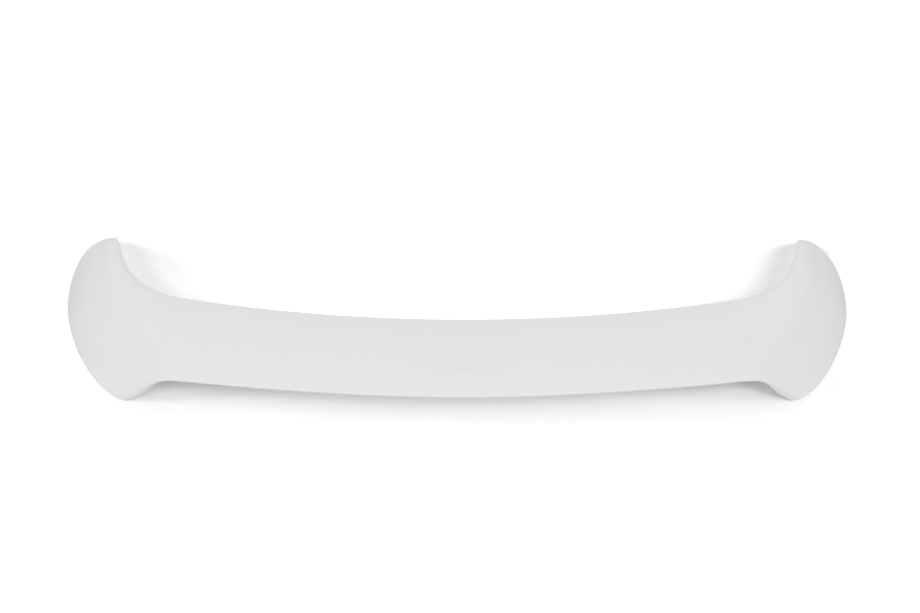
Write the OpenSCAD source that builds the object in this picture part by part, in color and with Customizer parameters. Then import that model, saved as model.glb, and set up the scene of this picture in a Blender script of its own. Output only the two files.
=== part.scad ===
// Raised boot-lid spoiler: one hollow moulding, a bowed blade carried by two flared feet.
// Millimetres. X runs across the car, Y points to its front and Z points up.
// Every section of the moulding is a ring round a middle surface. The rings follow the span
// from foot to foot, so blade, shoulders and feet are one skin with no seam between them.

/* [Blade] */
// From the middle of the blade to each shoulder, where the feet begin to turn down
shoulder_x = 450; // [360:1:540]
// Height of the blade above the boot lid in the middle
crown_z = 95; // [85:1:115]
// Height of the blade above the boot lid at the shoulders
shoulder_z = 76; // [62:1:84]
// Width of the blade from edge to edge in the middle
chord_mid = 143; // [110:1:175]
// Width of the blade from edge to edge at the shoulders
chord_end = 153; // [120:1:185]
// How far the rear edge bows backwards between the shoulders
bow = 40; // [0:1:60]
// How far the blade's rear corners stand behind the feet
setback = 6; // [0:1:20]
// Thickness of the blade
blade_t = 19; // [15:0.5:26]
// How far the middle of the section stands above the line between its edges
camber = 5; // [0:0.5:10]
// Share of its thickness that the blade has lost at the rear edge
rear_thinning = 0.35; // [0:0.05:0.5]

/* [Feet] */
// Length of each foot along the car
foot_len = 311; // [270:1:380]
// From the middle of the car to the front tip of each foot
front_tip_x = 599; // [560:1:620]
// From the middle of the car to the rear tip of each foot
rear_tip_x = 543; // [520:1:580]
// How far the foot line bulges out beyond the line between its tips
flare = 60; // [30:1:80]
// Thickness of a foot at its widest place
foot_t = 44; // [36:1:56]
// Share of the foot's length, from the front tip, at which it bulges most
flare_place = 0.48; // [0.4:0.01:0.6]

/* [Moulding] */
// Wall thickness of the moulding
wall = 3.5; // [2.8:0.1:5]
// Thickness of the sole plate inside each foot
sole_t = 3; // [2.5:0.1:3.5]
// Height of the upright rim round each foot
rim_h = 2; // [1.8:0.1:3]
// How far the sole lies up inside the rim, to take the adhesive tape
tape_recess = 1; // [0.6:0.1:1.5]
// Width of the open slot under each foot
slot_w = 18; // [10:1:22]
// Length of the open slot, as a share of the foot's length
slot_share = 0.36; // [0.2:0.02:0.4]

/* [Inserts] */
// Outer radius of a threaded insert
insert_r = 4; // [3.4:0.1:4.8]
// Length of a threaded insert
insert_len = 10; // [8:0.5:11]
// Tapping radius inside an insert, for an M6 thread
tap_r = 2.5; // [2:0.1:3]
// Width of the grip groove round an insert
groove_w = 2; // [1:0.5:4]
// Depth of the grip groove
groove_d = 0.6; // [0.3:0.1:0.8]
// Gap between an insert and the hole that it sits in
insert_gap = 0.1; // [0.05:0.05:0.2]
// Wall round the hole in each boss
boss_wall = 3.4; // [2.5:0.1:4]
// Depth left in the boss above an insert
boss_roof = 3; // [2:0.5:4]
// How far an insert sits up inside its hole
insert_recess = 0.3; // [0:0.1:1]
// Place of the front boss, as a share of the foot's length from the front tip
front_boss_place = 0.22; // [0.2:0.01:0.25]
// Place of the rear boss, as a share of the foot's length from the front tip
rear_boss_place = 0.76; // [0.74:0.01:0.8]
// How far the bosses stand in from the middle line of the foot
boss_inset = 4; // [2:0.5:6]

/* [Hidden] */
$fn = 48;

// How sharply the two edges of the blade bow: 2 is a parabola, less is fuller at the ends
front_bow_power = 2;
rear_bow_power = 1.8;
// Roundness of the foot line before and behind its widest place: 2 is an ellipse
front_foot_power = 1.66;
rear_foot_power = 1.7;
// Sharpness of the section's edges: less is blunter. The feet are blunter at the front.
blade_edge_power = 0.3;
foot_front_edge_power = 0.35;
foot_rear_edge_power = 0.5;

// How far each line of the blade runs straight on past the shoulder: front, middle and rear
run_on = [140, 85, 57];
// Direction in which each line comes up off the foot: inwards, backwards and upwards
rise_in = [50, 38, 51];
rise_back = [29, 6, 0];
rise_up = [92, 60, 36.5];

// Points round half a ring, and rings along the blade and along each foot
ring_half = 22;
blade_rings = 11;
foot_rings = 13;
inner_blade_rings = 5;
inner_foot_rings = 6;
// Place down the foot, a little above the rim, where the sole's outline is taken
sole_level = 0.994;

rear_y = -setback;
front_y = chord_end - setback;
front_bow = bow + chord_end - chord_mid;
// The origin lies under the middle of the whole, halfway between its front and rear
centre_y = (foot_len - setback - bow) / 2;

boss_r = insert_r + insert_gap + boss_wall;
insert_z = tape_recess + insert_recess;
hole_top = insert_z + insert_len;

function ease(u) = u * u * (3 - 2 * u);

// The parabola through three values at the front, middle and rear of a section
function across(v, values) =
    values[0] * (1 - v) * (1 - 2 * v) + 4 * values[1] * v * (1 - v) + values[2] * v * (2 * v - 1);

// Middle of the blade's section at x, with v from 0 at the front edge to 1 at the rear edge
function blade_middle(x, v) =
    let (t = abs(x) / shoulder_x)
    let (front = front_y - front_bow * (1 - pow(t, front_bow_power)))
    let (rear = rear_y - bow * (1 - pow(t, rear_bow_power)))
    let (z = shoulder_z + (crown_z - shoulder_z) * (1 - t * t))
    [x, (1 - v) * front + v * rear, z + 4 * camber * v * (1 - v)];

// Direction of the blade's lines where they reach the shoulder
function shoulder_run(v) =
    let (front = front_bow * front_bow_power / shoulder_x)
    let (rear = bow * rear_bow_power / shoulder_x)
    [1, (1 - v) * front + v * rear, -2 * (crown_z - shoulder_z) / shoulder_x];

// Middle line of the foot on the boot lid: the line between its tips, bulged by a superellipse
function foot_line(v) =
    let (before = v < flare_place)
    let (s = before ? 1 - v / flare_place : (v - flare_place) / (1 - flare_place))
    let (power = before ? front_foot_power : rear_foot_power)
    let (bulge = flare * pow(max(0, 1 - pow(s, power)), 1 / power))
    [(1 - v) * front_tip_x + v * rear_tip_x + bulge, foot_len * (1 - v), 0];

// Middle surface of the foot: each line leaves the shoulder along the blade and lands on the
// rim over the foot line as one cubic curve, with u from 0 at the shoulder to 1 at the rim
function foot_middle(u, v) =
    let (start = blade_middle(shoulder_x, v))
    let (leave = start + across(v, run_on) * shoulder_run(v))
    let (end = foot_line(v) + [0, 0, rim_h])
    let (land = end + [-across(v, rise_in), -across(v, rise_back), across(v, rise_up)])
    let (w = 1 - u)
    w * w * w * start + 3 * w * w * u * leave + 3 * w * u * u * land + u * u * u * end;

// Thickness of a section that rounds off to nothing at both edges
function lens(t, v, power) = t * pow(max(0, 4 * v * (1 - v)), power);
function thickness(u, v, blade, foot) =
    (1 - ease(u)) * lens(blade, v, blade_edge_power) * (1 - rear_thinning * v)
    + ease(u) * lens(foot, v, (1 - v) * foot_front_edge_power + v * foot_rear_edge_power);

// Direction of the thickness: upwards in the blade, turning to outwards on the boot lid
function skin_side(u) = [sin(90 * ease(u)), 0, cos(90 * ease(u))];

// A ring starts at the front edge, runs over the outer side to the rear edge and back inside.
// Its points are spaced as round a circle, which packs them at the two tight edges.
function ring(side, x, u, v_min, v_max, blade, foot) = [
    for (i = [0 : 2 * ring_half - 1])
        let (turn = 180 * i / ring_half)
        let (v = v_min + (v_max - v_min) * (1 - cos(turn)) / 2)
        let (middle = u > 0 ? foot_middle(u, v) : blade_middle(x, v))
        let (fill = (v - v_min) / (v_max - v_min))
        let (half = thickness(u, fill, blade, foot) / 2)
        let (point = middle + (i < ring_half ? half : -half) * skin_side(u))
        [side * point[0], point[1] - centre_y, point[2]]
];

// Rings from the middle of the blade out to one foot, as [x, u] for each ring
function span(blade_count, foot_count) = [
    for (i = [0 : blade_count]) [shoulder_x * i / blade_count, 0],
    for (i = [1 : foot_count]) [shoulder_x, i / foot_count]
];

// Width of the wall at the edges of a section, as a share of its width
function edge_share(station) =
    2 * wall / ((1 - station[1]) * chord_end + station[1] * foot_len);

// Ring that lies deeper than the outer skin: by nothing, by half the wall, or by all of it
function skin_ring(side, station, depth) =
    let (edge = edge_share(station) * depth / wall)
    ring(side, station[0], station[1], edge, 1 - edge, blade_t - 2 * depth, foot_t - 2 * depth);

// Lower edge of the rim, straight under the last ring of a skin
function rim_ring(side, depth) =
    [for (p = skin_ring(side, [shoulder_x, 1], depth)) [p[0], p[1], 0]];

function reversed(list) = [for (i = [len(list) - 1 : -1 : 0]) list[i]];
function tail(list) = [for (i = [1 : len(list) - 1]) list[i]];

// All rings in one loop: the outer skin from left to right, then back inside the moulding.
// The two skins meet under the upright rims of the feet.
function moulding_rings() =
    let (outer = span(blade_rings, foot_rings))
    let (inner = span(inner_blade_rings, inner_foot_rings))
    concat(
        [rim_ring(-1, 0)],
        [for (s = reversed(outer)) skin_ring(-1, s, 0)],
        [for (s = tail(outer)) skin_ring(1, s, 0)],
        [rim_ring(1, 0), rim_ring(1, wall)],
        [for (s = reversed(inner)) skin_ring(1, s, wall)],
        [for (s = tail(inner)) skin_ring(-1, s, wall)],
        [rim_ring(-1, wall)]
    );

// Skin over a closed loop of rings that all have the same number of points
module skin_loop(rings) {
    n = len(rings[0]);
    m = len(rings);
    points = [for (r = rings) each r];
    faces = [
        for (k = [0 : m - 1], i = [0 : n - 1])
            let (next = (k + 1) % m)
            let (j = (i + 1) % n)
            [k * n + i, next * n + i, next * n + j, k * n + j]
    ];
    polyhedron(points, faces, convexity = 8);
}

// Centres of the four bosses on the boot lid
function boss_place(side, v) =
    let (p = foot_line(v))
    [side * (p[0] - boss_inset), p[1] - centre_y, 0];
boss_places = [
    for (side = [-1, 1], v = [front_boss_place, rear_boss_place]) boss_place(side, v)
];

// Plan of a ring, seen from above
function plan(list) = [for (p = list) [p[0], p[1]]];

// Sole of a foot: a plate that reaches halfway into the walls, open in a long slot
module sole(side) {
    slot_middle = (front_boss_place + rear_boss_place) / 2;
    slot_front = slot_middle - slot_share / 2;
    slot_rear = slot_middle + slot_share / 2;
    translate([0, 0, tape_recess])
        linear_extrude(sole_t)
            difference() {
                polygon(plan(skin_ring(side, [shoulder_x, sole_level], wall / 2)));
                polygon(plan(ring(side, shoulder_x, 1, slot_front, slot_rear, 0, slot_w)));
            }
}

// Boss that stands on the sole
module boss() {
    foot = tape_recess + sole_t / 2;
    translate([0, 0, foot])
        cylinder(r = boss_r, h = hole_top + boss_roof - foot);
}

module insert_hole() {
    cylinder(r = insert_r + insert_gap, h = hole_top);
}

// Threaded insert: a turned bush with a grip groove round its middle
module insert() {
    low = (insert_len - groove_w) / 2;
    high = (insert_len + groove_w) / 2;
    translate([0, 0, insert_z])
        rotate_extrude()
            polygon([
                [tap_r, 0],
                [insert_r, 0],
                [insert_r, low],
                [insert_r - groove_d, low],
                [insert_r - groove_d, high],
                [insert_r, high],
                [insert_r, insert_len],
                [tap_r, insert_len]
            ]);
}

module spoiler_body() {
    color([0.89, 0.89, 0.89])
        difference() {
            union() {
                skin_loop(moulding_rings());
                for (side = [-1, 1]) sole(side);
                for (place = boss_places)
                    translate(place) boss();
            }
            for (place = boss_places)
                translate(place) insert_hole();
        }
}

module threaded_inserts() {
    color([0.72, 0.56, 0.28])
        for (place = boss_places)
            translate(place) insert();
}

spoiler_body();
threaded_inserts();
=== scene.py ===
"""A bare, primed boot-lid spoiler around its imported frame: skins, inserts, finishes and studio.

The moulding is a hollow shell without a single flat face above its soles. Its visible skin is
worked out here from the same rule as its solid, only finer: every section is a closed ring
round a middle surface, and the rings follow the span from one foot to the other.
"""

from __future__ import annotations

import logging
from dataclasses import dataclass, field
from enum import Enum
from typing import Union

import bpy
import numpy as np
from mathutils import Matrix

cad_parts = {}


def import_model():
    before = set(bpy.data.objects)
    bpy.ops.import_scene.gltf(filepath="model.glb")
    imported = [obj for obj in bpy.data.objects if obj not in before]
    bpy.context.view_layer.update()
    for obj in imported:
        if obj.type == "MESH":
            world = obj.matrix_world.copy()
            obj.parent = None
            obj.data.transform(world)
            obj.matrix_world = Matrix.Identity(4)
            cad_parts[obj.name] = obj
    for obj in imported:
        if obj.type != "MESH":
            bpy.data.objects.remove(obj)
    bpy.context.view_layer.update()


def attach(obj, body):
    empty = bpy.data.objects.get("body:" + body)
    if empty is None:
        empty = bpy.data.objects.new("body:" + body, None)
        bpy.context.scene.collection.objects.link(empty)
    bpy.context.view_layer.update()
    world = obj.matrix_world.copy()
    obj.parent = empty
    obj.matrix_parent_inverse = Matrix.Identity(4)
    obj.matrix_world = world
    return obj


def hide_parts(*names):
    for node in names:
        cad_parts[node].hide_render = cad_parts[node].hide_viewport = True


LOG = logging.getLogger("boot_spoiler")
ROOT_BODY = "root"
MM = 0.001  # a millimetre in metres
SHARP_ANGLE = 40.0  # degrees between two faces, from which their edge is drawn sharp
FAR_AWAY = 1000.0  # millimetres from the parting line, for points that have no distance
COLUMN_SIDES = 64
AXIS_WEIGHTS = (7919.0, 104729.0, 1299709.0)  # large primes, so that no two places agree
ENDLESS = 1e6  # metres, for a patch that doesn't look at height
WHITE = (1.0, 1.0, 1.0, 1.0)

Array = np.ndarray
Piece = bpy.types.Object
Socket = bpy.types.NodeSocket
Triple = tuple[float, float, float]
Colour = tuple[float, float, float, float]
Source = Union[Socket, float, Triple, Colour]


class Side(Enum):
    """The two ends of the spoiler, as signs of X."""

    LEFT = -1.0
    RIGHT = 1.0


class Slot(Enum):
    """The record's material slots."""

    PRIMER = "primer"
    BRASS = "insert_brass"


class Node(Enum):
    """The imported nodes."""

    BODY = "spoiler_body"
    INSERTS = "threaded_inserts"


class Operation(Enum):
    """What a tool does to the piece that it is carved into."""

    JOIN = "UNION"
    CUT = "DIFFERENCE"


class Blend(Enum):
    """What a mix node blends: its data type, its two inputs and its output."""

    NUMBERS = ("FLOAT", 2, 3, 0)
    COLOURS = ("RGBA", 6, 7, 2)


def ease(u: Array) -> Array:
    """Smooth step from 0 to 1: three u squared minus two u cubed."""
    return u * u * (3.0 - 2.0 * u)


def across(v: Array, values: Triple) -> Array:
    """Parabola through three values at v = 0, one half and 1.

    Args:
        v: Place across the section, 0 at the front edge and 1 at the rear edge.
        values: The values at the front edge, in the middle and at the rear edge.

    Returns:
        The parabola's value at each v.
    """
    front, middle, rear = values
    return front * (1 - v) * (1 - 2 * v) + 4 * middle * v * (1 - v) + rear * v * (2 * v - 1)


def stack(x: Array, y: Array, z: Array) -> Array:
    """Three coordinate arrays of any matching shapes as one array of points."""
    return np.stack(np.broadcast_arrays(x, y, z), axis=-1)


@dataclass(frozen=True)
class Blade:
    """The bowed blade between the shoulders. Sizes are in millimetres.

    Attributes:
        shoulder_x: Half its span.
        crown_z: Height of its middle.
        shoulder_z: Height of its ends.
        chord_mid: From front edge to rear edge in the middle.
        chord_end: From front edge to rear edge at the shoulders.
        bow: How far the rear edge bows backwards in the middle.
        setback: How far the rear edge stands behind the feet's rear tips at the shoulders.
        thickness: Thickness of the section.
        camber: Rise of the section's middle over its edges.
        rear_thinning: Share of the thickness that is lost towards the rear edge.
        front_bow_power: Power of the front edge's bow.
        rear_bow_power: Power of the rear edge's bow.
        edge_power: Bluntness of both edges. The lower it is, the blunter they are.
    """

    shoulder_x: float = 450.0
    crown_z: float = 95.0
    shoulder_z: float = 76.0
    chord_mid: float = 143.0
    chord_end: float = 153.0
    bow: float = 40.0
    setback: float = 6.0
    thickness: float = 19.0
    camber: float = 5.0
    rear_thinning: float = 0.35
    front_bow_power: float = 2.0
    rear_bow_power: float = 1.8
    edge_power: float = 0.3

    @property
    def front_bow(self) -> float:
        """How far the front edge bows backwards in the middle."""
        return self.bow + self.chord_end - self.chord_mid

    def middle(self, x: Array, v: Array) -> Array:
        """Middle surface of the blade.

        Front and rear edges bow backwards by a power of the distance from the middle, the
        height falls as its square, and the section between the edges is a shallow parabola.

        Args:
            x: Distance from the middle of the car.
            v: Place across the section, from front to rear.

        Returns:
            Points of the middle surface.
        """
        t = np.abs(x) / self.shoulder_x
        front = self.chord_end - self.setback - self.front_bow * (1 - t**self.front_bow_power)
        rear = -self.setback - self.bow * (1 - t**self.rear_bow_power)
        z = self.shoulder_z + (self.crown_z - self.shoulder_z) * (1 - t * t)
        return stack(x, (1 - v) * front + v * rear, z + 4 * self.camber * v * (1 - v))

    def shoulder_run(self, v: Array) -> Array:
        """Direction of the blade's lines at the shoulder: the slope of the middle surface there.

        Args:
            v: Place across the section, from front to rear.

        Returns:
            The way that each line goes for one millimetre of X.
        """
        front = self.front_bow * self.front_bow_power / self.shoulder_x
        rear = self.bow * self.rear_bow_power / self.shoulder_x
        fall = -2 * (self.crown_z - self.shoulder_z) / self.shoulder_x
        return stack(np.ones_like(v), (1 - v) * front + v * rear, np.full_like(v, fall))

    def section(self, v: Array) -> Array:
        """Thickness across the section, blunt at both edges and thinner at the rear."""
        lens = np.clip(4 * v * (1 - v), 0, None) ** self.edge_power
        return self.thickness * lens * (1 - self.rear_thinning * v)


@dataclass(frozen=True)
class Foot:
    """A flared half-moon foot. Sizes are in millimetres.

    Attributes:
        length: From the front tip to the rear tip.
        front_tip_x: Half the distance between the two front tips.
        rear_tip_x: Half the distance between the two rear tips.
        flare: How far the foot bulges outwards from the straight line between its tips.
        thickness: Width of the foot on the boot lid.
        flare_place: Place of the widest bulge, 0 at the front tip and 1 at the rear tip.
        front_power: Power of the superellipse before the widest place.
        rear_power: Power of the superellipse behind it.
        edge_powers: Bluntness of the front tip and of the rear tip, as in the blade.
        run_on: How far the lines run on along the blade, in front, in the middle and behind.
        rise_in: How far inwards the lines rise from the rim, at the same three places.
        rise_back: How far backwards they rise.
        rise_up: How far upwards they rise.
    """

    length: float = 311.0
    front_tip_x: float = 599.0
    rear_tip_x: float = 543.0
    flare: float = 60.0
    thickness: float = 44.0
    flare_place: float = 0.48
    front_power: float = 1.66
    rear_power: float = 1.7
    edge_powers: tuple[float, float] = (0.35, 0.5)
    run_on: Triple = (140.0, 85.0, 57.0)
    rise_in: Triple = (50.0, 38.0, 51.0)
    rise_back: Triple = (29.0, 6.0, 0.0)
    rise_up: Triple = (92.0, 60.0, 36.5)

    def line(self, v: Array) -> Array:
        """Middle line of the foot on the boot lid.

        The straight line between the two tips, bulged outwards by a superellipse whose
        power differs before and behind its widest place.

        Args:
            v: Place along the foot, 0 at the front tip and 1 at the rear tip.

        Returns:
            Points on the boot lid.
        """
        widest = self.flare_place
        s = np.where(v < widest, 1 - v / widest, (v - widest) / (1 - widest))
        power = np.where(v < widest, self.front_power, self.rear_power)
        bulge = self.flare * np.clip(1 - np.clip(s, 0, 1) ** power, 0, None) ** (1 / power)
        x = (1 - v) * self.front_tip_x + v * self.rear_tip_x + bulge
        return stack(x, self.length * (1 - v), np.zeros_like(v))

    def middle(self, blade: Blade, u: Array, v: Array, rim_h: float) -> Array:
        """Middle surface of the foot.

        Each line across the section leaves the shoulder along the blade and lands on the rim
        over the foot line as one cubic curve of four control points.

        Args:
            blade: The blade that the foot carries.
            u: Place down the foot, 0 at the shoulder and 1 at the rim.
            v: Place across the section, from front to rear.
            rim_h: Height of the upright rim round the foot.

        Returns:
            Points of the middle surface.
        """
        u, v = np.broadcast_arrays(u, v)
        start = blade.middle(np.full_like(v, blade.shoulder_x), v)
        leave = start + across(v, self.run_on)[..., None] * blade.shoulder_run(v)
        end = self.line(v) + [0.0, 0.0, rim_h]
        rise = stack(-across(v, self.rise_in), -across(v, self.rise_back), across(v, self.rise_up))
        land = end + rise
        w = (1 - u)[..., None]
        u = u[..., None]
        return w**3 * start + 3 * w * w * u * leave + 3 * w * u * u * land + u**3 * end

    def section(self, v: Array) -> Array:
        """Thickness along the foot on the boot lid, blunt at both tips and more so in front."""
        power = (1 - v) * self.edge_powers[0] + v * self.edge_powers[1]
        return self.thickness * np.clip(4 * v * (1 - v), 0, None) ** power


@dataclass(frozen=True)
class Fineness:
    """How finely the skins are divided: points on half a ring, and rings along each part."""

    half_ring: int = 88
    outer_blade: int = 60
    outer_foot: int = 64
    inner_blade: int = 20
    inner_foot: int = 24
    sole: int = 9


@dataclass
class Moulding:
    """The one-piece hollow shell with its soles, slots and bosses. Sizes are in millimetres.

    Attributes:
        blade: The blade.
        foot: The right foot. The left one is its mirror image.
        fineness: How finely the skins are divided.
        wall: Thickness of the walls.
        sole_t: Thickness of the soles.
        tape_recess: Height of the soles over the boot lid.
        rim_h: Height of the upright rim round each foot.
        sole_level: Station down the foot whose outline the soles take.
        slot_w: Width of the slots in the soles.
        slot_share: Length of the slots, as a share of the foot's length.
        boss_places: Places of the front boss and the rear boss along the foot.
        boss_inset: How far inwards the bosses stand from the foot's line.
        boss_r: Radius of the bosses.
        boss_top: Height of the bosses' upper ends.
        hole_r: Radius of the holes that the inserts sit in.
        hole_top: Height of the holes' upper ends.
    """

    blade: Blade = field(default_factory=Blade)
    foot: Foot = field(default_factory=Foot)
    fineness: Fineness = field(default_factory=Fineness)
    wall: float = 3.5
    sole_t: float = 3.0
    tape_recess: float = 1.0
    rim_h: float = 2.0
    sole_level: float = 0.994
    slot_w: float = 18.0
    slot_share: float = 0.36
    boss_places: tuple[float, float] = (0.22, 0.76)
    boss_inset: float = 4.0
    boss_r: float = 7.5
    boss_top: float = 14.3
    hole_r: float = 4.1
    hole_top: float = 11.3

    @property
    def centre_y(self) -> float:
        """Y of the origin, halfway between the front tips and the rearmost edge."""
        return (self.foot.length - self.blade.setback - self.blade.bow) / 2

    def rings(
        self, x: Array, u: Array, span: tuple[Array, Array], thick: tuple[float, float | Array]
    ) -> Array:
        """Closed rings on the right half of the spoiler.

        A ring starts at the front edge, runs over the outer side to the rear edge and comes
        back inside. Its points are spaced as round a circle, v being half of one minus the
        cosine of the turn, so they crowd at the two tight edges. Each point is the middle
        surface plus or minus half the thickness, in a direction that turns from upwards in
        the blade to outwards on the boot lid.

        Args:
            x: Station along the blade for each ring.
            u: Station down the foot for each ring, 0 in the blade.
            span: Lowest and highest v of each ring.
            thick: Thickness in the blade and in the foot, the latter for all rings or for each.

        Returns:
            Points, ring by ring.
        """
        count = self.fineness.half_ring
        fill = (1 - np.cos(np.pi * np.arange(2 * count) / count)) / 2
        sign = np.where(np.arange(2 * count) < count, 1.0, -1.0)
        low, high = (np.asarray(edge)[:, None] for edge in span)
        v = low + (high - low) * fill
        x = np.broadcast_to(x[:, None], v.shape)
        u = np.broadcast_to(u[:, None], v.shape)
        foot_middle = self.foot.middle(self.blade, u, v, self.rim_h)
        middle = np.where((u > 0)[..., None], foot_middle, self.blade.middle(x, v))
        blade_part = self.blade.section(fill) * thick[0] / self.blade.thickness
        foot_part = self.foot.section(fill) * thick[1] / self.foot.thickness
        half = sign * ((1 - ease(u)) * blade_part + ease(u) * foot_part) / 2
        lean = np.pi / 2 * ease(u)
        points = middle + half[..., None] * stack(np.sin(lean), np.zeros_like(u), np.cos(lean))
        points[..., 1] -= self.centre_y
        return points

    def skin(self, x: Array, u: Array, depth: float) -> Array:
        """Rings at one depth under the outer skin.

        Args:
            x: Station along the blade for each ring.
            u: Station down the foot for each ring, 0 in the blade.
            depth: Depth under the outer skin, all round the ring.

        Returns:
            Points, ring by ring.
        """
        edge = 2 * depth / ((1 - u) * self.blade.chord_end + u * self.foot.length)
        thick = (self.blade.thickness - 2 * depth, self.foot.thickness - 2 * depth)
        return self.rings(x, u, (edge, 1 - edge), thick)

    def half_skin(self, blade: int, foot: int, depth: float) -> Array:
        """Rings from the middle of the blade out to the rim, and the rim's lower edge.

        Args:
            blade: Steps along the blade.
            foot: Steps down the foot.
            depth: Depth under the outer skin.

        Returns:
            Points, ring by ring.
        """
        x = np.linspace(0, self.blade.shoulder_x, blade + 1)
        u = np.linspace(0, 1, foot + 1)[1:]
        x = np.concatenate([x, np.full(foot, self.blade.shoulder_x)])
        u = np.concatenate([np.zeros(blade + 1), u])
        rings = self.skin(x, u, depth)
        return np.concatenate([rings, rings[-1:] * [1.0, 1.0, 0.0]])

    def skins(self) -> Array:
        """Both skins as one loop of rings.

        Returns:
            Points, ring by ring: outside from left to right, then back inside.
        """
        mirror = np.array([-1.0, 1.0, 1.0])
        outer = self.half_skin(self.fineness.outer_blade, self.fineness.outer_foot, 0.0)
        inner = self.half_skin(self.fineness.inner_blade, self.fineness.inner_foot, self.wall)
        return np.concatenate([outer[::-1] * mirror, outer[1:], inner[::-1], inner[1:] * mirror])

    def painted(self, rings: Array) -> Array:
        """Where the spray reached: the outer skin, whose rings come first in the loop.

        Args:
            rings: Both skins as one loop of rings.

        Returns:
            One for each point outside, and nought inside.
        """
        outer = 2 * (self.fineness.outer_blade + self.fineness.outer_foot + 2) - 1
        reached = np.zeros(rings.shape[:2])
        reached[:outer] = 1.0
        return reached

    def parting_distance(self, rings: Array) -> Array:
        """How far round its ring each point lies from the mould's parting line.

        The line runs along both edges, through the first point of a ring and the one opposite.

        Args:
            rings: Both skins as one loop of rings.

        Returns:
            The distance of each point.
        """
        steps = np.linalg.norm(np.roll(rings, -1, axis=1) - rings, axis=2)
        way = np.cumsum(steps, axis=1) - steps
        whole = steps.sum(axis=1, keepdims=True)
        rear = way[:, self.fineness.half_ring, None]
        return np.minimum(np.minimum(way, whole - way), np.abs(way - rear))

    def sole(self, side: Side) -> Piece:
        """Sole of one foot: a plate from halfway into the walls to its long open slot.

        The rings between its outline and its slot follow the foot's own curve, because they
        share out the span, the width and the station down the foot, and not the places.

        Args:
            side: The end of the spoiler.

        Returns:
            The sole as a closed mesh.
        """
        centre = sum(self.boss_places) / 2
        reach = self.slot_share / 2
        edge = self.wall / self.foot.length
        outline = np.array([edge, 1 - edge, self.foot.thickness - self.wall, self.sole_level])
        slot = np.array([centre - reach, centre + reach, self.slot_w, 1.0])
        share = np.linspace(0, 1, self.fineness.sole)[:, None]
        low, high, width, level = ((1 - share) * outline + share * slot).T
        x = np.full_like(level, self.blade.shoulder_x)
        plan = self.rings(x, level, (low, high), (0.0, width[:, None]))
        loop = np.concatenate([plan, plan[::-1]])
        loop[: len(plan), :, 2] = self.tape_recess
        loop[len(plan) :, :, 2] = self.tape_recess + self.sole_t
        loop[..., 0] *= side.value
        return grid_object(f"sole_{side.name.lower()}", loop * MM)

    def boss_centres(self, side: Side) -> Array:
        """Centres of the two bosses of one foot, set in a little from the foot's line.

        Args:
            side: The end of the spoiler.

        Returns:
            Their places on the boot lid, front one first.
        """
        line = self.foot.line(np.array(self.boss_places))
        line[:, 0] = side.value * (line[:, 0] - self.boss_inset)
        line[:, 1] -= self.centre_y
        return line

    def build(self) -> Piece:
        """Builds the whole moulding, with its soles, bosses and insert holes.

        The points of the skins get their paint and their distance to the parting line last,
        because joining and cutting put the points in another order.

        Returns:
            The moulding as one closed mesh.
        """
        rings = self.skins()
        shell = grid_object("moulded_shell", rings * MM)
        places = points_of(shell)
        boss_foot = self.tape_recess + self.sole_t / 2
        soles, holes = [], []
        for side in Side:
            sole = self.sole(side)
            centres = self.boss_centres(side)
            bosses = [column("boss", c, self.boss_r, boss_foot, self.boss_top) for c in centres]
            carve(sole, join(bosses), Operation.JOIN)
            soles.append(sole)
            holes += [column("hole", c, self.hole_r, 0.0, self.hole_top) for c in centres]
        carve(shell, join(soles), Operation.JOIN)
        carve(shell, join(holes), Operation.CUT)
        note_points(shell, "painted", places, self.painted(rings), 0.0)
        note_points(shell, "parting", places, self.parting_distance(rings), FAR_AWAY)
        shell.data.set_sharp_from_angle(angle=np.radians(SHARP_ANGLE))
        return shell


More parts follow.
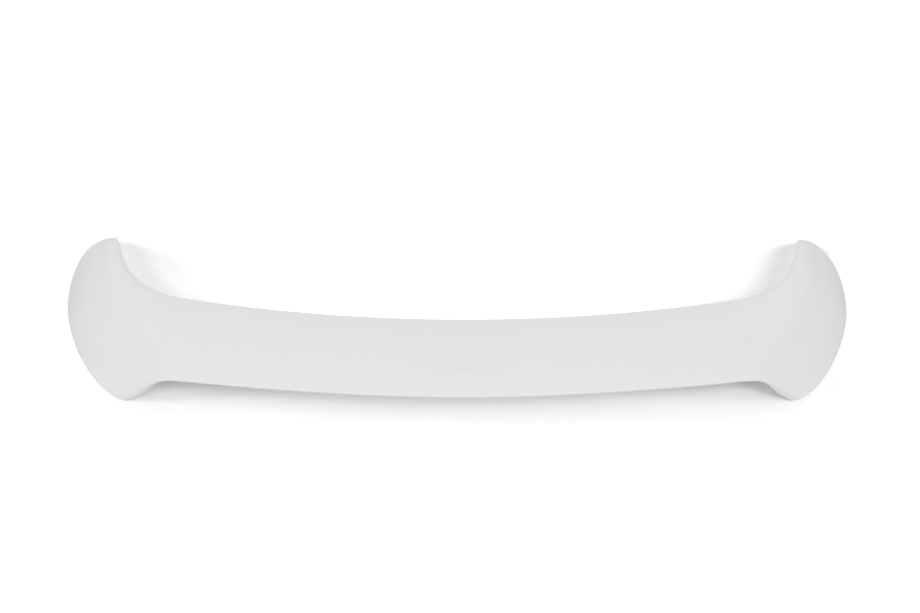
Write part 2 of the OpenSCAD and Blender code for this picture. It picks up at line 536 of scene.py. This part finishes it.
@dataclass
class ThreadedInsert:
    """A brass bush with an internal screw thread and a knurled outside. Millimetres."""

    outer_r: float = 4.0
    tap_r: float = 2.5
    thread_depth: float = 0.5
    pitch: float = 1.0
    length: float = 10.0
    foot_z: float = 1.3
    lead_in: float = 0.5
    knurl_depth: float = 0.18
    knurls: int = 36
    groove_w: float = 2.0
    groove_d: float = 0.6
    around: int = 144
    rows_per_turn: int = 10
    rows_outside: int = 25

    def bore_radius(self, z: Array, turn: Array) -> Array:
        """Radius of the tapped bore.

        A triangle wave of the height plus the share of a turn, one pitch long, rises from the
        tapping radius to the thread's root and fades out at both lead-in chamfers.

        Args:
            z: Height inside the insert.
            turn: Angle round the bore.

        Returns:
            The bore's radius.
        """
        phase = (z / self.pitch + turn / (2 * np.pi)) % 1.0
        wave = 1 - np.abs(2 * phase - 1)
        ends = np.clip(np.minimum(z, self.length - z) / self.lead_in, 0, 1)
        chamfer = (1 - ends) * self.lead_in
        return self.tap_r + self.thread_depth * wave * ends + chamfer

    def outside_radius(self, z: Array, turn: Array) -> Array:
        """Radius of the outside: knurled, with a plain groove round its middle.

        From one ridge to the next the radius loses the knurl's depth times half a sine wave.

        Args:
            z: Height inside the insert.
            turn: Angle round the outside.

        Returns:
            The outer radius.
        """
        in_groove = np.abs(z - self.length / 2) < self.groove_w / 2
        knurl = self.knurl_depth * np.abs(np.sin(turn * self.knurls / 2))
        return np.where(in_groove, self.outer_r - self.groove_d, self.outer_r - knurl)

    def build(self, centre: Array, name: str) -> Piece:
        """Builds one insert: up the outside, over the top and down the bore.

        Args:
            centre: Where it stands on the boot lid.
            name: The piece's name.

        Returns:
            The insert as a closed mesh.
        """
        rows = int(self.length / self.pitch * self.rows_per_turn)
        turn = 2 * np.pi * np.arange(self.around) / self.around
        z_out = np.linspace(0, self.length, self.rows_outside)
        z_in = np.linspace(self.length, 0, rows + 1)
        turn_out, height_out = np.meshgrid(turn, z_out)
        turn_in, height_in = np.meshgrid(turn, z_in)
        outside = self.outside_radius(height_out, turn_out)
        radius = np.concatenate([outside, self.bore_radius(height_in, turn_in)])
        angle = np.concatenate([turn_out, turn_in])
        height = np.concatenate([height_out, height_in]) + self.foot_z
        points = stack(radius * np.cos(angle), radius * np.sin(angle), height) + centre
        return grid_object(name, points * MM)


def new_mesh(name: str, points: Array, faces: list[list[int]]) -> bpy.types.Mesh:
    """A mesh of given faces.

    Args:
        name: The mesh's name.
        points: Its points, in metres.
        faces: The numbers of each face's points, in order.

    Returns:
        The mesh.
    """
    mesh = bpy.data.meshes.new(name)
    mesh.from_pydata(points.tolist(), [], faces)
    mesh.update()
    return mesh


def new_object(name: str, data: bpy.types.ID) -> Piece:
    """A new object of the scene.

    Args:
        name: The object's name.
        data: Its mesh, lamp or camera.

    Returns:
        The object, at the origin.
    """
    piece = bpy.data.objects.new(name, data)
    bpy.context.scene.collection.objects.link(piece)
    return piece


def grid_object(name: str, points: Array) -> Piece:
    """A mesh object over a closed loop of closed rings.

    Args:
        name: The object's name.
        points: Points in metres, as rows of rings. The last ring joins the first.

    Returns:
        The object, smooth shaded, with its faces turned outwards.
    """
    rows, cols = points.shape[:2]
    k = np.arange(rows)[:, None]
    i = np.arange(cols)[None, :]
    here, after, step = k * cols, (k + 1) % rows * cols, (i + 1) % cols
    quads = np.stack([here + i, here + step, after + step, after + i], axis=-1).reshape(-1, 4)
    flat = points.reshape(-1, 3)
    if enclosed_volume(flat, quads) < 0:
        quads = quads[:, ::-1]
    mesh = new_mesh(name, flat, quads.tolist())
    mesh.shade_smooth()
    return new_object(name, mesh)


def enclosed_volume(points: Array, quads: Array) -> float:
    """Volume inside a closed mesh of quads, as a sum of tetrahedra.

    Args:
        points: The mesh's points.
        quads: The numbers of each quad's four points.

    Returns:
        The volume, which is negative where the faces look inwards.
    """
    a, b, c, d = (points[quads[:, i]] for i in range(4))
    first = np.einsum("ij,ij->i", a, np.cross(b, c))
    second = np.einsum("ij,ij->i", a, np.cross(c, d))
    return float((first + second).sum() / 6)


def column(name: str, centre: Array, radius: float, low: float, high: float) -> Piece:
    """A closed round column between two heights. Millimetres.

    Args:
        name: The object's name.
        centre: The foot of its axis on the boot lid.
        radius: Its radius.
        low: Its lower height.
        high: Its upper height.

    Returns:
        The column, with its faces turned outwards.
    """
    turn = np.linspace(0, 2 * np.pi, COLUMN_SIDES, endpoint=False)
    ring = stack(radius * np.cos(turn), radius * np.sin(turn), np.zeros_like(turn)) + centre
    points = np.concatenate([ring + [0, 0, low], ring + [0, 0, high]]) * MM
    i = np.arange(COLUMN_SIDES)
    step = (i + 1) % COLUMN_SIDES
    sides = np.stack([i, step, step + COLUMN_SIDES, i + COLUMN_SIDES], axis=-1).tolist()
    caps = [i[::-1].tolist(), (i + COLUMN_SIDES).tolist()]
    return new_object(name, new_mesh(name, points, sides + caps))


def points_of(piece: Piece) -> Array:
    """The points of a piece.

    Args:
        piece: A mesh object.

    Returns:
        Its points, in metres.
    """
    points = np.empty(3 * len(piece.data.vertices))
    piece.data.vertices.foreach_get("co", points)
    return points.reshape(-1, 3)


def fingerprint(points: Array) -> Array:
    """One number for each point that tells it by its place: a weighted sum of its coordinates."""
    return points @ np.array(AXIS_WEIGHTS)


def note_points(piece: Piece, name: str, places: Array, values: Array, other: float) -> None:
    """Stores one number for each point of a piece, for its material to read.

    Args:
        piece: The finished piece, in which the points stand in another order.
        name: The attribute's name.
        places: The points whose number is known.
        values: Their numbers.
        other: The number of all other points.
    """
    known, sought = fingerprint(places), fingerprint(points_of(piece))
    order = np.argsort(known)
    match = order[np.minimum(np.searchsorted(known, sought, sorter=order), len(order) - 1)]
    numbers = np.where(known[match] == sought, values.ravel()[match], other)
    piece.data.attributes.new(name, "FLOAT", "POINT").data.foreach_set("value", numbers)


def join(pieces: list[Piece]) -> Piece:
    """Several pieces that don't touch as one.

    Args:
        pieces: The pieces. All but the first are removed.

    Returns:
        The first piece, which now has the points and faces of all.
    """
    corners = [points_of(piece) for piece in pieces]
    starts = np.cumsum([0] + [len(points) for points in corners]).tolist()
    faces = [
        [start + corner for corner in face.vertices]
        for start, piece in zip(starts, pieces)
        for face in piece.data.polygons
    ]
    pieces[0].data = new_mesh(pieces[0].name, np.concatenate(corners), faces)
    for piece in pieces[1:]:
        bpy.data.objects.remove(piece)
    return pieces[0]


def carve(piece: Piece, tool: Piece, operation: Operation) -> None:
    """Joins or cuts a tool into a piece for good.

    Args:
        piece: The piece that changes.
        tool: The tool, which is removed.
        operation: Whether the tool is joined or cut.
    """
    modifier = piece.modifiers.new(tool.name, "BOOLEAN")
    modifier.operation = operation.value
    modifier.solver = "EXACT"
    modifier.object = tool
    graph = bpy.context.evaluated_depsgraph_get()
    mesh = bpy.data.meshes.new_from_object(piece.evaluated_get(graph))
    piece.modifiers.clear()
    piece.data = mesh
    bpy.data.objects.remove(tool)


@dataclass(frozen=True)
class Noise:
    """A noise over a piece's own coordinates, stretched along its axes."""

    scale: float
    detail: float
    stretch: Triple = (1.0, 1.0, 1.0)


@dataclass(frozen=True)
class Relief:
    """How high a layer of relief stands, in metres, and how strongly it shows."""

    height: float
    strength: float


class Nodes:
    """A small hand for building the node tree of a material or a world."""

    def __init__(self, owner: bpy.types.Material | bpy.types.World) -> None:
        """Starts an empty tree with an output.

        Args:
            owner: The material or world whose tree it is.
        """
        owner.use_nodes = True
        self.tree = owner.node_tree
        self.tree.nodes.clear()
        kind = "World" if isinstance(owner, bpy.types.World) else "Material"
        self.output = self.add(f"ShaderNodeOutput{kind}")

    def add(self, kind: str, *sources: Source, **settings: object) -> bpy.types.Node:
        """Adds a node.

        Args:
            kind: The node's type.
            sources: What its first inputs are given, in order.
            settings: Its properties by name, and what its inputs are given by name, with an
                underscore for each space.

        Returns:
            The node.
        """
        node = self.tree.nodes.new(kind)
        for key, value in settings.items():
            if hasattr(node, key):
                setattr(node, key, value)
            else:
                self.give(node.inputs[key.replace("_", " ")], value)
        for target, source in zip(node.inputs, sources):
            self.give(target, source)
        return node

    def give(self, target: Socket, source: Source) -> None:
        """Joins an output to an input, or sets the input to a constant.

        Args:
            target: The input.
            source: The output or the constant.
        """
        if isinstance(source, Socket):
            self.tree.links.new(source, target)
        else:
            target.default_value = source

    def show(self, shader: Socket) -> None:
        """Makes a shader what the tree puts out."""
        self.give(self.output.inputs["Surface"], shader)

    def own_place(self) -> Socket:
        """The piece's own coordinates, which are in metres from its origin."""
        return self.add("ShaderNodeTexCoord").outputs["Object"]

    def noise(self, noise: Noise) -> Socket:
        """Noise from 0 to 1.

        Args:
            noise: Its scale, detail and stretch.

        Returns:
            The noise.
        """
        place = self.add("ShaderNodeMapping", self.own_place(), Scale=noise.stretch)
        vector = place.outputs["Vector"]
        node = self.add("ShaderNodeTexNoise", vector, Scale=noise.scale, Detail=noise.detail)
        return node.outputs["Fac"]

    def cells(self, scale: float) -> Socket:
        """Distance to the nearest of many scattered points, in cells."""
        return self.add("ShaderNodeTexVoronoi", self.own_place(), Scale=scale).outputs["Distance"]

    def attribute(self, name: str) -> Socket:
        """A number that the mesh carries on its points."""
        return self.add("ShaderNodeAttribute", attribute_name=name).outputs["Fac"]

    def grey(self, level: Socket) -> Socket:
        """A colour with the same level in each channel."""
        return self.add("ShaderNodeCombineColor", level, level, level).outputs["Color"]

    def math(self, operation: str, first: Source, second: Source) -> Socket:
        """Two numbers joined by an operation."""
        return self.add("ShaderNodeMath", first, second, operation=operation).outputs["Value"]

    def mix(self, blend: Blend, share: Source, first: Source, second: Source) -> Socket:
        """A share of the way from one number or colour to another.

        Args:
            blend: Whether numbers or colours are mixed.
            share: How far the way is gone, from 0 to 1.
            first: Where the way starts.
            second: Where it ends.

        Returns:
            The mixed number or colour.
        """
        kind, start, end, result = blend.value
        node = self.add("ShaderNodeMix", share, data_type=kind)
        self.give(node.inputs[start], first)
        self.give(node.inputs[end], second)
        return node.outputs[result]

    def mix_shaders(self, share: Socket, first: Socket, second: Socket) -> Socket:
        """A share of the way from one shader to another."""
        return self.add("ShaderNodeMixShader", share, first, second).outputs["Shader"]

    def spread(self, source: Socket, low: float, high: float) -> Socket:
        """A value from 0 to 1 spread between two others."""
        return self.add("ShaderNodeMapRange", source, To_Min=low, To_Max=high).outputs["Result"]

    def step(self, source: Socket, nought: float, one: float) -> Socket:
        """A smooth step.

        Args:
            source: The value that steps.
            nought: Where the step is nought, and beyond.
            one: Where the step is one, and beyond.

        Returns:
            The step, from 0 to 1.
        """
        node = self.add(
            "ShaderNodeMapRange",
            source,
            interpolation_type="SMOOTHSTEP",
            From_Min=min(nought, one),
            From_Max=max(nought, one),
            To_Min=float(nought > one),
            To_Max=float(nought < one),
        )
        return node.outputs["Result"]

    def patch(self, centre: tuple[float, float], reach: tuple[float, float]) -> Socket:
        """One at a point seen from above, falling to nought round it. Millimetres.

        Args:
            centre: The point's X and Y.
            reach: How far the patch reaches along X and along Y.

        Returns:
            The patch, from 0 to 1.
        """
        place = self.add(
            "ShaderNodeMapping",
            self.own_place(),
            vector_type="TEXTURE",
            Location=(centre[0] * MM, centre[1] * MM, 0.0),
            Scale=(reach[0] * MM, reach[1] * MM, ENDLESS),
        )
        length = self.add("ShaderNodeVectorMath", place.outputs["Vector"], operation="LENGTH")
        return self.step(length.outputs["Value"], 1.0, 0.0)


@dataclass(frozen=True)
class Mark:
    """A faint darker patch in the primer, seen from above. Millimetres."""

    centre: tuple[float, float]
    reach: tuple[float, float]
    depth: float


@dataclass(frozen=True)
class PrimerFinish:
    """Satin grey-white primer over a moulded shell, whose inside is left as moulded.

    The attribute "painted" says where the spray reached, and "parting" how far away the
    mould's parting line is, in millimetres.
    """

    level: float = 0.76
    drift: float = 0.008
    drift_noise: Noise = Noise(scale=7.0, detail=2.0)
    grain: float = 0.010
    grain_noise: Noise = Noise(scale=900.0, detail=2.0)
    roughness: float = 0.52
    roughness_drift: float = 0.06
    roughness_noise: Noise = Noise(scale=21.0, detail=3.0)
    peel: Relief = Relief(height=0.00004, strength=0.3)
    peel_noise: Noise = Noise(scale=650.0, detail=1.0)
    sanding: Relief = Relief(height=0.00001, strength=0.25)
    sanding_noise: Noise = Noise(scale=260.0, detail=3.0, stretch=(0.05, 1.0, 1.0))
    nibs: Relief = Relief(height=0.00003, strength=0.5)
    nib_scale: float = 70.0
    nib_size: float = 0.045
    seam: Relief = Relief(height=0.0001, strength=0.6)
    seam_width: float = 0.7
    seam_darkness: float = 0.03
    raw_colour: Colour = (0.36, 0.36, 0.35, 1.0)
    raw_roughness: float = 0.62
    fully_painted: float = 0.999
    overspray: float = 0.5
    overspray_noise: Noise = Noise(scale=220.0, detail=4.0)
    overspray_edge: tuple[float, float] = (0.35, 0.65)
    marks: tuple[Mark, ...] = (
        Mark(centre=(-345.0, -72.0), reach=(7.0, 7.0), depth=0.030),
        Mark(centre=(-17.5, -108.0), reach=(7.0, 7.0), depth=0.030),
        Mark(centre=(397.5, -70.0), reach=(8.0, 8.0), depth=0.030),
        Mark(centre=(5.0, -132.0), reach=(75.0, 10.0), depth=0.020),
        Mark(centre=(460.0, -68.0), reach=(26.0, 14.0), depth=0.020),
    )

    def material(self) -> bpy.types.Material:
        """Builds the primer.

        Returns:
            The node material.
        """
        material = bpy.data.materials.new("primer")
        nodes = Nodes(material)
        cover = self.cover(nodes)
        line = self.parting_line(nodes)
        tone = nodes.grey(self.tone(nodes, line))
        least = self.roughness - self.roughness_drift
        most = self.roughness + self.roughness_drift
        satin = nodes.spread(nodes.noise(self.roughness_noise), least, most)
        shader = nodes.add(
            "ShaderNodeBsdfPrincipled",
            Base_Color=nodes.mix(Blend.COLOURS, cover, self.raw_colour, tone),
            Roughness=nodes.mix(Blend.NUMBERS, cover, self.raw_roughness, satin),
            Normal=self.relief(nodes, line),
        )
        nodes.show(shader.outputs["BSDF"])
        return material

    def cover(self, nodes: Nodes) -> Socket:
        """How well the primer covers: whole outside, ragged where the spray ran out.

        Args:
            nodes: The material's nodes.

        Returns:
            One where the primer covers, and nought where the shell is raw.
        """
        reached = nodes.attribute("painted")
        noise = nodes.noise(self.overspray_noise)
        ragged = nodes.spread(noise, -self.overspray, self.overspray)
        beyond = nodes.math("LESS_THAN", reached, self.fully_painted)
        edge = nodes.math("ADD", reached, nodes.math("MULTIPLY", ragged, beyond))
        return nodes.step(edge, *self.overspray_edge)

    def tone(self, nodes: Nodes, line: Socket) -> Socket:
        """Grey level of the primer: slow drift, fine grain, faint marks and the parting line.

        Args:
            nodes: The material's nodes.
            line: One on the parting line and nought beside it.

        Returns:
            The level.
        """
        drift = nodes.noise(self.drift_noise)
        tone = nodes.spread(drift, self.level - self.drift, self.level + self.drift)
        grain = nodes.spread(nodes.noise(self.grain_noise), -self.grain, self.grain)
        tone = nodes.math("ADD", tone, grain)
        for mark in self.marks:
            dip = nodes.math("MULTIPLY", nodes.patch(mark.centre, mark.reach), mark.depth)
            tone = nodes.math("SUBTRACT", tone, dip)
        return nodes.math("SUBTRACT", tone, nodes.math("MULTIPLY", line, self.seam_darkness))

    def parting_line(self, nodes: Nodes) -> Socket:
        """One on the mould's parting line, and nought beside it and on the raw inside."""
        line = nodes.step(nodes.attribute("parting"), self.seam_width, 0.0)
        return nodes.math("MULTIPLY", line, nodes.attribute("painted"))

    def relief(self, nodes: Nodes, line: Socket) -> Socket:
        """Orange peel, sanding strokes along the blade, dust nibs and the parting line.

        Args:
            nodes: The material's nodes.
            line: One on the parting line and nought beside it.

        Returns:
            The normal of the surface under all four layers.
        """
        layers = (
            (nodes.noise(self.peel_noise), self.peel),
            (nodes.noise(self.sanding_noise), self.sanding),
            (nodes.step(nodes.cells(self.nib_scale), self.nib_size, 0.0), self.nibs),
            (line, self.seam),
        )
        below: dict[str, Socket] = {}
        for height, layer in layers:
            sizes = {"Strength": layer.strength, "Distance": layer.height}
            node = nodes.add("ShaderNodeBump", Height=height, **sizes, **below)
            below = {"Normal": node.outputs["Normal"]}
        return below["Normal"]


@dataclass(frozen=True)
class BrassFinish:
    """Dull turned brass."""

    colour: Colour = (0.62, 0.44, 0.18, 1.0)
    roughness: float = 0.35
    roughness_drift: float = 0.1
    noise: Noise = Noise(scale=900.0, detail=3.0)

    def material(self) -> bpy.types.Material:
        """Builds the brass.

        Returns:
            The node material.
        """
        material = bpy.data.materials.new("insert_brass")
        nodes = Nodes(material)
        least, most = self.roughness - self.roughness_drift, self.roughness + self.roughness_drift
        shader = nodes.add(
            "ShaderNodeBsdfPrincipled",
            Metallic=1.0,
            Base_Color=self.colour,
            Roughness=nodes.spread(nodes.noise(self.noise), least, most),
        )
        nodes.show(shader.outputs["BSDF"])
        return material


@dataclass(frozen=True)
class Lamp:
    """A large, distant lamp. Angles are in degrees.

    Attributes:
        bearing: Where it stands, seen from above: 0 in front of the car, 90 to its right.
        elevation: How high it stands over the floor.
        level: Share of full brightness that it gives the open floor.
        spread: How wide it looks from the floor.
    """

    bearing: float
    elevation: float
    level: float
    spread: float = 16.0


@dataclass
class Studio:
    """White floor, white surroundings and soft light from above.

    The lamps and the sky together light the open floor to a level of about one. To the camera
    the floor is as light as `floor_seen` and `floor_lift` together, which is white. To the
    object it is only as light as `floor_bounce`, because the photograph's floor was whitened
    after it had lit the object.
    """

    floor_half: float = 8.0
    floor_gap: float = 0.0004
    floor_seen: float = 1.0
    floor_lift: float = 0.16
    floor_bounce: float = 0.5
    sky_level: float = 0.02
    lamps: tuple[Lamp, ...] = (
        Lamp(bearing=135.0, elevation=67.0, level=0.086),
        Lamp(bearing=135.0, elevation=55.0, level=0.178),
        Lamp(bearing=225.0, elevation=55.0, level=0.125),
        Lamp(bearing=0.0, elevation=40.0, level=0.140),
        Lamp(bearing=270.0, elevation=25.0, level=0.189),
        Lamp(bearing=90.0, elevation=25.0, level=0.141),
        Lamp(bearing=180.0, elevation=12.0, level=0.079),
        Lamp(bearing=0.0, elevation=12.0, level=0.055),
    )

    def build(self) -> None:
        """Lays the floor, lights the world and hangs the lamps."""
        self.lay_floor()
        self.light_world()
        for number, lamp in enumerate(self.lamps):
            self.hang(lamp, f"lamp_{number}")

    def lay_floor(self) -> None:
        """Lays a plain floor, a hair under the feet, that keeps the object's shadow."""
        half, z = self.floor_half, -self.floor_gap
        corners = [(-half, -half, z), (half, -half, z), (half, half, z), (-half, half, z)]
        mesh = new_mesh("floor", np.array(corners), [[0, 1, 2, 3]])
        floor = new_object("floor", mesh)
        material = bpy.data.materials.new("floor")
        nodes = Nodes(material)
        bounce, plain, lift = (
            nodes.add("ShaderNodeBsdfDiffuse", (level, level, level, 1.0)).outputs["BSDF"]
            for level in (self.floor_bounce, self.floor_seen, self.floor_lift)
        )
        both = nodes.add("ShaderNodeAddShader", plain, lift).outputs["Shader"]
        seen = nodes.add("ShaderNodeLightPath").outputs["Is Camera Ray"]
        nodes.show(nodes.mix_shaders(seen, bounce, both))
        mesh.materials.append(material)

    def light_world(self) -> None:
        """Even light from all round, and plain white wherever the surroundings are seen.

        They are seen by the camera, and as reflections and through glass.
        """
        world = bpy.data.worlds.new("studio")
        bpy.context.scene.world = world
        nodes = Nodes(world)
        path = nodes.add("ShaderNodeLightPath").outputs
        seen = path["Is Camera Ray"]
        for ray in ("Is Glossy Ray", "Is Transmission Ray"):
            seen = nodes.math("MAXIMUM", seen, path[ray])
        light, shown = (
            nodes.add("ShaderNodeBackground", WHITE, level).outputs["Background"]
            for level in (self.sky_level, 1.0)
        )
        nodes.show(nodes.mix_shaders(seen, light, shown))

    def hang(self, lamp: Lamp, name: str) -> None:
        """Hangs one lamp, so bright that the open floor shows its level.

        It doesn't show in reflections, because they already see the white surroundings.

        Args:
            lamp: Where it hangs and how bright it is.
            name: The lamp's name.
        """
        turn, lift = np.radians([lamp.bearing, lamp.elevation])
        away = direction(turn, lift)
        light = bpy.data.lights.new(name, "SUN")
        light.angle = np.radians(lamp.spread)
        light.energy = np.pi * lamp.level / np.sin(lift)
        holder = new_object(name, light)
        holder.matrix_world = looking(away, -away)
        holder.visible_glossy = False


@dataclass(frozen=True)
class Viewpoint:
    """The photograph's camera, fitted to the outlines of the spoiler.

    Attributes:
        elevation: How steeply it looks down, in degrees.
        azimuth: How far it looks to the right of straight ahead, in degrees.
        roll: How far the picture is turned clockwise, in degrees.
        distance: How far it stands from its aim, in metres.
        aim: The point in the middle of the picture, in metres.
        lens: Focal length in millimetres.
        sensor: Width of the sensor in millimetres.
        far: How far it sees, in metres.
    """

    elevation: float = 58.63
    azimuth: float = 3.84
    roll: float = 3.382
    distance: float = 3.164
    aim: Triple = (-0.00168, 0.01795, 0.05)
    lens: float = 74.8
    sensor: float = 36.0
    far: float = 60.0

    def build(self) -> None:
        """Places the camera and makes it the scene's own."""
        turn, down = np.radians([self.azimuth, self.elevation])
        forward = direction(turn, -down)
        data = bpy.data.cameras.new("camera")
        data.lens = self.lens
        data.sensor_width = self.sensor
        data.clip_end = self.far
        camera = new_object("camera", data)
        place = np.array(self.aim) - forward * self.distance
        camera.matrix_world = looking(place, forward, self.roll)
        bpy.context.scene.camera = camera


def direction(turn: float, lift: float) -> Array:
    """A direction of length one, from its turn to the right of Y and its lift. Radians."""
    level = np.cos(lift)
    return np.array([np.sin(turn) * level, np.cos(turn) * level, np.sin(lift)])


def looking(place: Array, forward: Array, roll: float = 0.0) -> Matrix:
    """Pose of a camera or lamp that looks along a direction.

    Args:
        place: Where it stands.
        forward: Where it looks, with length one, and neither straight up nor down.
        roll: How far the picture is turned clockwise, in degrees.

    Returns:
        The pose, whose columns are right, up and backwards.
    """
    side = np.cross(forward, [0.0, 0.0, 1.0])
    side = side / np.linalg.norm(side)
    top = np.cross(side, forward)
    cos, sin = np.cos(np.radians(roll)), np.sin(np.radians(roll))
    right, up = side * cos + top * sin, top * cos - side * sin
    pose = np.eye(4)
    pose[:3, :4] = np.stack([right, up, -forward, place], axis=1)
    return Matrix(pose.tolist())


def dress(piece: Piece, material: bpy.types.Material, slot: Slot, node: Node) -> None:
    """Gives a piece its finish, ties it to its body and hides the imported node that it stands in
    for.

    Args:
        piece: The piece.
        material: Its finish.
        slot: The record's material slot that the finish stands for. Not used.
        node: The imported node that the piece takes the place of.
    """
    piece.data.materials.clear()
    piece.data.materials.append(material)
    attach(piece, ROOT_BODY)
    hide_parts(node.value)
    LOG.info("%s: %d vertices", piece.name, len(piece.data.vertices))


def main() -> None:
    """Builds the spoiler, its studio and its camera."""
    logging.basicConfig(level=logging.INFO, format="%(name)s %(message)s")
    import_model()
    Viewpoint().build()
    moulding = Moulding()
    dress(moulding.build(), PrimerFinish().material(), Slot.PRIMER, Node.BODY)
    brass = BrassFinish().material()
    for side in Side:
        for place, centre in zip(("front", "rear"), moulding.boss_centres(side)):
            insert = ThreadedInsert().build(centre, f"insert_{place}_{side.name.lower()}")
            dress(insert, brass, Slot.BRASS, Node.INSERTS)
    Studio().build()
    bpy.context.scene.view_settings.view_transform = "Standard"


if __name__ == "__main__":
    main()
